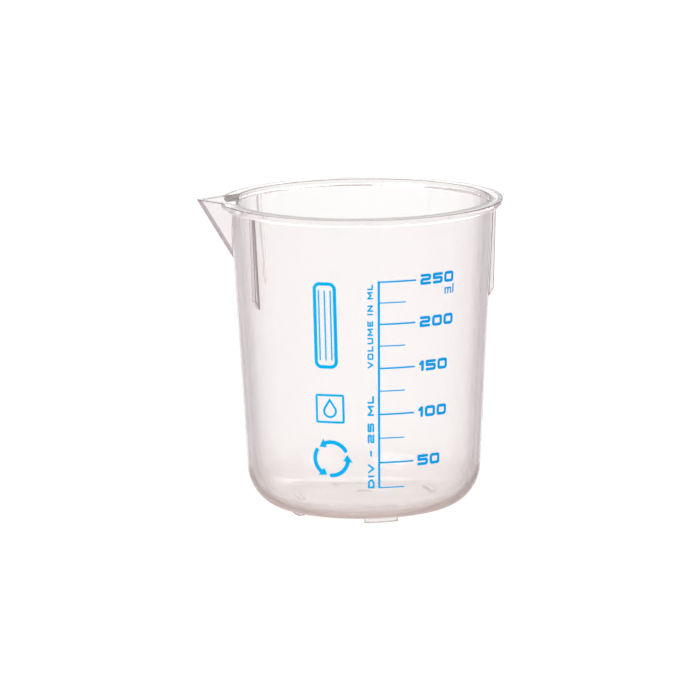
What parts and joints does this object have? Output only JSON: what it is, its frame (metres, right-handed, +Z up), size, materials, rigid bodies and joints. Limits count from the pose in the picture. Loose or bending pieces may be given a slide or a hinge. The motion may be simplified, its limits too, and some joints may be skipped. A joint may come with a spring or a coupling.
{
  "type": "laboratory beaker",
  "caption": "Clear moulded plastic laboratory beaker with a pouring spout, stacking ribs, low feet and a printed volume scale.",
  "frame": {"origin": "on the beaker's axis, on the plane that its feet stand on", "axes": "+Z up along the beaker's axis; the pouring spout points to -X; the printed scale faces -Y"},
  "size_m": [0.0888, 0.082, 0.0919],
  "materials": {
    "clear_plastic": "clear, slightly milky moulded polymethylpentene, polished",
    "blue_ink": "semi-matt screen-printed ink"
  },
  "bodies": {
    "root": {"beaker_body": "clear_plastic", "scale_line": "blue_ink", "numbered_graduations": "blue_ink", "plain_graduations": "blue_ink", "numeral_50": "blue_ink", "numeral_100": "blue_ink", "numeral_150": "blue_ink", "numeral_200": "blue_ink", "numeral_250": "blue_ink", "unit_ml": "blue_ink", "caption_step": "blue_ink", "caption_volume": "blue_ink", "arrows_symbol": "blue_ink", "droplet_symbol": "blue_ink", "marking_panel": "blue_ink"}
  },
  "joints": []
}
